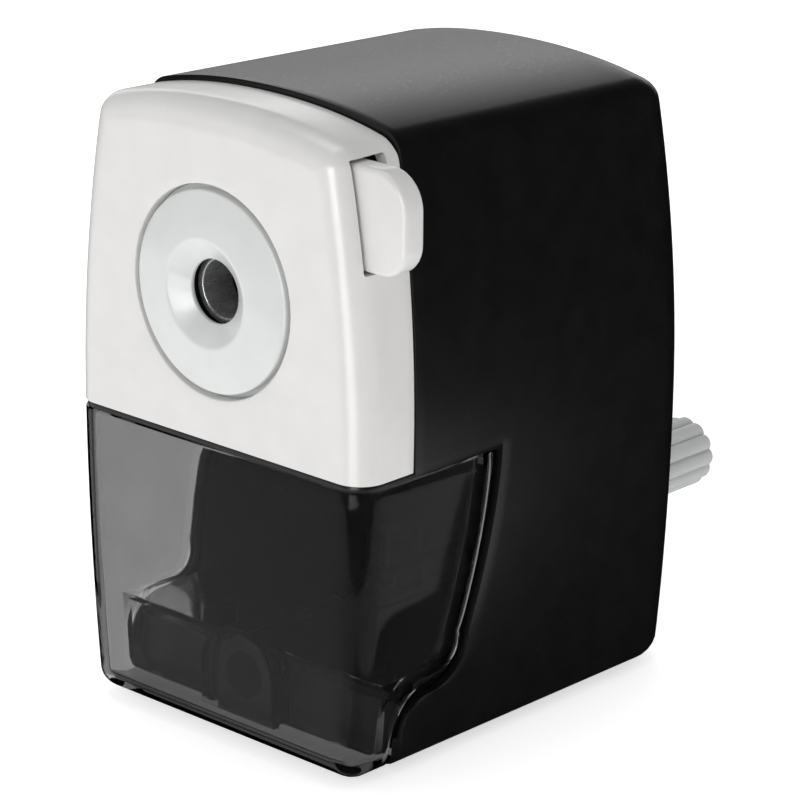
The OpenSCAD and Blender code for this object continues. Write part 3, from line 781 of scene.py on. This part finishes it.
def panel_row(stations, y_of, inset, columns):
    """One closed row of the panel: over the top, then back along the straight lower edge."""
    row = [panel_point(s, y_of(s), inset) for s in stations]
    first, last = row[0], row[-1]
    return row + [last.lerp(first, i / columns) for i in range(1, columns)]


def seam_gap(z):
    """Room between the panel and the housing; it opens along the top."""
    t = min(max((z - GAP_FROM_Z) / GAP_RUN, 0), 1)
    return SIDE_GAP + GAP_MORE * t * t * (3 - 2 * t)


def panel_skin(depth):
    """Rows of the panel's outer skin, depth 0, or of its inner skin, from the seam to the opening."""
    low = PANEL_Z + PANEL_LIFT + depth
    stations = upper_stations([low] + spread(low + 1.15, SIDE_END_Z, 15))
    columns = 26
    inset = STEP + depth
    band = FRONT_R - inset
    front = FRONT_Y + inset
    edge = 0.25 if depth == 0 else 0

    def seam(s):
        level = on_outline(s, SEAM_LOW_Y, STEP).z
        return seam_y(level) - seam_gap(level)

    rows = []
    for a in (pi / 2, pi / 3, pi / 6) if edge else ():
        rows.append(panel_row(stations, lambda s, a=a: seam(s) - edge * (1 - sin(a)),
                              inset + edge * (1 - cos(a)), columns))
    for i in range(6):
        def y_of(s, i=i):
            start = seam(s) - edge
            return start + (front + band - start) * i / 5
        rows.append(panel_row(stations, y_of, inset, columns))
    for a in spread(0, pi / 2, 12)[1:]:
        y = front + band * (1 - sin(a))
        rows.append(panel_row(stations, lambda s, y=y: y, inset + band * (1 - cos(a)), columns))
    rim = rows[-1]
    hub = Vector((0, front, AXIS_Z))
    for k in (0.08, 0.3, 0.6, 0.85, 1):
        rows.append([p.lerp((p - hub).normalized() * (HOLE_R + edge) + hub, k) for p in rim])
    for a in (pi / 6, pi / 3, pi / 2) if edge else ():
        sunk = hub + Vector((0, edge * (1 - cos(a)), 0))
        rows.append([(p - hub).normalized() * (HOLE_R + edge * (1 - sin(a))) + sunk for p in rim])
    return rows


def make_panel():
    front = FRONT_Y + STEP
    rows = panel_skin(0) + panel_skin(WALL)[::-1]
    points, faces = loft(rows + [rows[0]], True)
    obj = new_mesh("front_panel_shell", points, faces, "front")
    tidy_mesh(obj)
    tool = block_tool(*SLOT)
    soften(tool, 0.4, 3)
    cut(obj, tool)
    dress(smooth(bake(obj, tool)), "white_plastic")
    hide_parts("front_panel")
    for i, (x, z) in enumerate(PANEL_POSTS):
        profile = rounded_profile([(POST_BORE_R, POST_END_Y), (POST_R, POST_END_Y),
                                   (POST_R, front + 1.5), (POST_BORE_R, front + 1.5)], 0.15)
        dress(turned("panel_post_%d" % (i + 1), profile, "front", x, z, 32), "white_plastic")


# ---- Entry disc and collar ---------------------------------------------------------------------

DISC_R = 16.0
DISC_DOME = 2.0
RIM_R = 8.5
THROAT_R = 5.05
GROOVE = 1.9                    # depth of the groove between the disc and the panel
FLANGE_R = 18.5                 # flange behind the panel
SLEEVE_R = 7.6                  # sleeve behind the flange
SLEEVE_BORE_R = 6.3
FACE_Y = FRONT_Y + STEP
COLLAR_BORE_R = 4.6
COLLAR_R = 6.25
COLLAR_Y0 = -36.1
COLLAR_Y1 = -29.7


def make_disc():
    """Domed disc with a funnel, a sunk groove round it and a flange behind the panel."""
    ball = (DISC_R ** 2 + DISC_DOME ** 2) / (2 * DISC_DOME)
    face = [(r, FACE_Y - (sqrt(ball ** 2 - r ** 2) - ball + DISC_DOME))
            for r in spread(RIM_R, DISC_R, 9)]
    corners = [(5.1, FACE_Y + 1.5, 0.15), (THROAT_R, FACE_Y + 0.9, 0.35)]
    corners += [(face[0][0], face[0][1], 0.5)]
    corners += [(r, y, 0.02) for r, y in face[1:-1]]
    corners += [(DISC_R, FACE_Y, 0.35), (DISC_R, FACE_Y + GROOVE, 0.2),
                (HOLE_R - 0.1, FACE_Y + GROOVE, 0.1), (HOLE_R - 0.1, FACE_Y + 2.1, 0.1),
                (FLANGE_R, FACE_Y + 2.1, 0.2), (FLANGE_R, FACE_Y + 3.6, 0.2),
                (SLEEVE_R, FACE_Y + 3.6, 0.2), (SLEEVE_R, FACE_Y + 5.2, 0.2),
                (SLEEVE_BORE_R, FACE_Y + 5.2, 0.1), (SLEEVE_BORE_R, FACE_Y + 1.5, 0.1)]
    obj = turned("entry_disc_turned", rounded_profile(corners, 0.2), "front", count=144)
    dress(obj, "disc_plastic")
    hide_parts("entry_disc")


def make_collar():
    """Steel sleeve behind the hole, with a stepped front edge, and a black ring of painted shade in
    front of it.
    """
    step_y = COLLAR_Y0 + 0.5
    profile = rounded_profile([(COLLAR_BORE_R, COLLAR_Y0, 0.25), (5.2, COLLAR_Y0, 0.15),
                               (5.4, step_y, 0.1), (COLLAR_R, step_y, 0.1),
                               (COLLAR_R, COLLAR_Y1), (COLLAR_BORE_R, COLLAR_Y1)], 0.2)
    obj = turned("guide_collar_turned", profile, "front")
    dress(obj, "steel")
    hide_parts("guide_collar")
    # A black ring in the throat in front of the collar, dark and matt as painted shade where the throat
    # lies in shadow.
    throat_shade = rounded_profile([(5.5, -37.3), (6.26, -37.3), (6.26, -36.15), (5.5, -36.15)], 0.1)
    dress(turned("collar_throat_shade_ring", throat_shade, "front"), "frame_plastic", "painted_shade_black")


# ---- Clamp lever -------------------------------------------------------------------------------

PIVOT = (25.6, 57.6)
ARM_Y0 = -34.6
ARM_Y1 = -30.9
STUD_AT = 12                    # the stud's distance from the axis
TAB = {"y0": -35.2, "y1": -30.9, "x1": 36.8, "z0": 82.8, "z1": 98.8, "top_r": 6.0, "low_r": 5.0}


def arc_points(cx, cz, r, a0, a1, count):
    return [(cx + r * cos(a), cz + r * sin(a)) for a in spread(radians(a0), radians(a1), count)]


def plate(name, outline, y0, y1, body, front_r=0.3, back_r=0.3, segments=3):
    """A flat plate with an (x, z) outline and rounded front and back edges."""
    mesh = bpy.data.meshes.new(name)
    bm = bmesh.new()
    verts = [bm.verts.new(Vector((x, y0, z)) * MM) for x, z in outline]
    face = bm.faces.new(verts)
    made = bmesh.ops.extrude_face_region(bm, geom=[face])
    moved = [v for v in made["geom"] if isinstance(v, bmesh.types.BMVert)]
    bmesh.ops.translate(bm, verts=moved, vec=Vector((0, (y1 - y0) * MM, 0)))
    bmesh.ops.recalc_face_normals(bm, faces=bm.faces)
    for level, radius in ((y0, front_r), (y1, back_r)):
        edges = [e for e in bm.edges if all(abs(v.co.y - level * MM) < 1e-7 for v in e.verts)]
        bmesh.ops.bevel(bm, geom=edges, offset=radius * MM, segments=segments, profile=0.5,
                        affect="EDGES", clamp_overlap=False)
    bm.to_mesh(mesh)
    bm.free()
    obj = linked(name, mesh)
    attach(obj, body)
    return smooth(obj, 50)


def make_lever():
    t = TAB
    outline = [(22, t["z0"])]
    outline += arc_points(t["x1"] - t["low_r"], t["z0"] + t["low_r"], t["low_r"], -90, 0, 13)
    outline += arc_points(t["x1"] - t["top_r"], t["z1"] - t["top_r"], t["top_r"], 0, 90, 15)
    outline += [(22, t["z1"])]
    tab = plate("lever_tab", outline, t["y0"], t["y1"], "lever", 0.85, 0.8, 6)
    dress(tab, "white_plastic")
    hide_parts("clamp_lever")
    arm = [(22, 90), (22, 68), (22.8, 57), (28.2, 57), (28.2, 66), (27.3, 74), (26.2, 83.2), (26.2, 90)]
    dress(plate("lever_arm", arm, ARM_Y0, ARM_Y1, "lever"), "white_plastic")
    # The short arm carries the stud that turns the cam ring.
    angle = atan2(PIVOT[1] - AXIS_Z, PIVOT[0])
    stud = (STUD_AT * cos(angle), AXIS_Z + STUD_AT * sin(angle))
    short = [(PIVOT[0] + 1.5, PIVOT[1] + 2.4), (stud[0] + 1.3, stud[1] + 2.1),
             (stud[0] - 1.3, stud[1] - 2.1), (PIVOT[0] - 1.5, PIVOT[1] - 2.4)]
    short_arm = plate("lever_short_arm", short, ARM_Y0 + 0.05, ARM_Y1 - 0.05, "lever")
    dress(short_arm, "white_plastic")
    boss = rounded_profile([(1.55, ARM_Y0), (2.9, ARM_Y0), (2.9, ARM_Y1), (1.55, ARM_Y1)], 0.2)
    dress(turned("lever_boss", boss, "lever", *PIVOT, 48), "white_plastic")
    pad = rounded_profile([(0.02, ARM_Y0), (2.4, ARM_Y0), (2.4, ARM_Y1), (1.2, ARM_Y1),
                           (1.2, -26.8), (0.02, -26.8)], 0.2)
    dress(turned("lever_stud", pad, "lever", *stud, 48), "white_plastic")


# ---- Drawer ------------------------------------------------------------------------------------

def make_drawer():
    edge = rear_edge(2, DRAWER_Z)
    toe = LEDGE_Y - TOE_R - 2
    line = [(("side", z, 1), y) for y, z in edge]
    line += [(s, toe) for s in low_stations()]
    line += [(("side", z, -1), y) for y, z in reversed(edge)]
    band = FRONT_R - STEP
    front = FRONT_Y + STEP
    rows = []
    for i in range(8):
        rows.append([on_outline(s, y0 + (front + band - y0) * i / 7, STEP) for s, y0 in line])
    for a in spread(0, pi / 2, 12)[1:]:
        rows.append([on_outline(s, front + band * (1 - sin(a)), STEP + band * (1 - cos(a)))
                     for s, _ in line])
    rows.append([on_outline(s, front, STEP + band + 1.0) for s, _ in line])
    points, faces = loft(rows, False, False, True)
    obj = new_mesh("drawer_shell", points, faces, "drawer")
    tidy_mesh(obj, (0, -20, 30))
    soften(thicken(obj, WALL), 0.3)
    dress(smooth(bake(obj)), "smoke_plastic")
    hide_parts("drawer")
    dress(inner_parts("drawer_inside", "drawer", "drawer", STEP + WALL - 0.05), "smoke_plastic")


# ---- Crank -------------------------------------------------------------------------------------

CRANK_LEN = 55
KNOB_Z = AXIS_Z - CRANK_LEN
HUB_END_R = 6.4                 # half width of the arm at the hub
KNOB_END_R = 5.2                # and at the knob
CRANK_Y0 = 41.2
CRANK_Y1 = 47.2                 # outer face of the hub and the boss
LOBE = 0.75                     # how far the knob's lobes stand out
KNOB_Y0 = 47.8
KNOB_LEN = 31.0
KNOB_R = 6.2
KNOB_LOBES = 12


def knob_ring(y, shrink):
    """One cross-section of the knob: a circle with shallow round lobes."""
    count = KNOB_LOBES * 12
    row = []
    for i in range(count):
        a = 2 * pi * i / count
        wave = abs(cos(a * KNOB_LOBES / 2)) ** 0.55
        r = (KNOB_R - LOBE + LOBE * wave) - shrink
        row.append(Vector((r * cos(a), y, KNOB_Z + r * sin(a))))
    return row


def make_knob():
    rows = []
    end_r = 1.3
    for a in spread(0, pi / 2, 6):
        rows.append(knob_ring(KNOB_Y0 + 0.6 * (1 - sin(a)), 0.6 * (1 - cos(a))))
    rows += [knob_ring(y, 0) for y in spread(KNOB_Y0 + 2, KNOB_Y0 + KNOB_LEN - end_r - 1, 8)]
    for a in spread(0, pi / 2, 8):
        rows.append(knob_ring(KNOB_Y0 + KNOB_LEN - end_r * (1 - sin(a)), end_r * (1 - cos(a))))
    rows.append(knob_ring(KNOB_Y0 + KNOB_LEN, 3))
    rows = sorted(rows, key=lambda row: row[0].y)
    points, faces = loft(rows, True, True, True)
    obj = new_mesh("crank_knob_moulded", points, faces, "knob")
    tidy_mesh(obj, (0, KNOB_Y0 + KNOB_LEN / 2, KNOB_Z))
    dress(smooth(obj, 60), "grey_plastic")
    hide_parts("crank_knob")


def make_crank_arm():
    """Bar that tapers from the hub to the knob, with a hub and an end boss."""
    slope = asin((HUB_END_R - KNOB_END_R) / CRANK_LEN)
    low = [(KNOB_END_R * cos(a), KNOB_Z + KNOB_END_R * sin(a))
           for a in spread(-pi + slope, -slope, 22)]
    high = [(HUB_END_R * cos(a), AXIS_Z + HUB_END_R * sin(a))
            for a in spread(-slope, pi + slope, 26)]
    arm = plate("crank_arm_bar", low + high, CRANK_Y0, 45, "crank", 0.5, 0.9, 4)
    dress(arm, "grey_plastic")
    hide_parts("crank_arm")
    hub = rounded_profile([(2.52, 40.4), (7.6, 40.4, 0.4), (7.6, CRANK_Y1, 0.9),
                           (2.52, CRANK_Y1, 0.3)], 0.3)
    dress(turned("crank_arm_hub", hub, "crank"), "grey_plastic")
    boss = rounded_profile([(2.02, CRANK_Y0), (5.6, CRANK_Y0, 0.4), (5.6, CRANK_Y1, 0.7),
                            (2.02, CRANK_Y1, 0.3)], 0.3)
    dress(turned("crank_arm_boss", boss, "crank", 0, KNOB_Z, 80), "grey_plastic")


# ---- Springs -----------------------------------------------------------------------------------

def coil(name, centre, axis, length, radius, wire, turns, body):
    """Compression spring as a swept tube, with a flat turn at each end."""
    u = axis.orthogonal().normalized()
    v = axis.cross(u)
    steps = int(turns * 28)
    span = length - wire * 2
    rows = []
    for i in range(steps + 1):
        t = i / steps
        a = 2 * pi * turns * t
        end = 1.0 / turns
        lift = min(max((t - end) / (1 - 2 * end), 0), 1)
        low = min(t / end, 1) * 2 * wire
        high = max((t - 1 + end) / end, 0) * 2 * wire
        out = u * cos(a) + v * sin(a)
        middle = centre + out * radius + axis * (wire + low + high + (span - 4 * wire) * lift)
        rows.append([middle + (out * cos(b) + axis * sin(b)) * wire
                     for b in (2 * pi * k / 10 for k in range(10))])
    points, faces = loft(rows, True, True, True)
    obj = new_mesh(name, points, faces, body)
    tidy_mesh(obj)
    return smooth(obj, 60)


def make_springs():
    rest, pressed = 35.0, 7.0
    for side, label in ((-1, "left"), (1, "right")):
        spring = coil("feed_spring_" + label, Vector((22.5 * side, -1.9, 62.6)), Vector((0, 1, 0)),
                      rest, 2.9, 0.36, 8, "body")
        dress(spring, "steel")
        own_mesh(spring)
        if side > 0:
            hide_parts("feed_springs")
    spring = coil("lever_return_spring", Vector((16.25, -32.6, 84.5)), Vector((1, 0, 0)),
                  5.7, 1.45, 0.22, 5, "front")
    dress(spring, "steel")
    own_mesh(spring)
    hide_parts("lever_spring")


make_camera()
make_stage()
dress_cad_nodes()
make_housing()
make_panel()
make_disc()
make_collar()
make_lever()
make_drawer()
make_knob()
make_crank_arm()
make_springs()
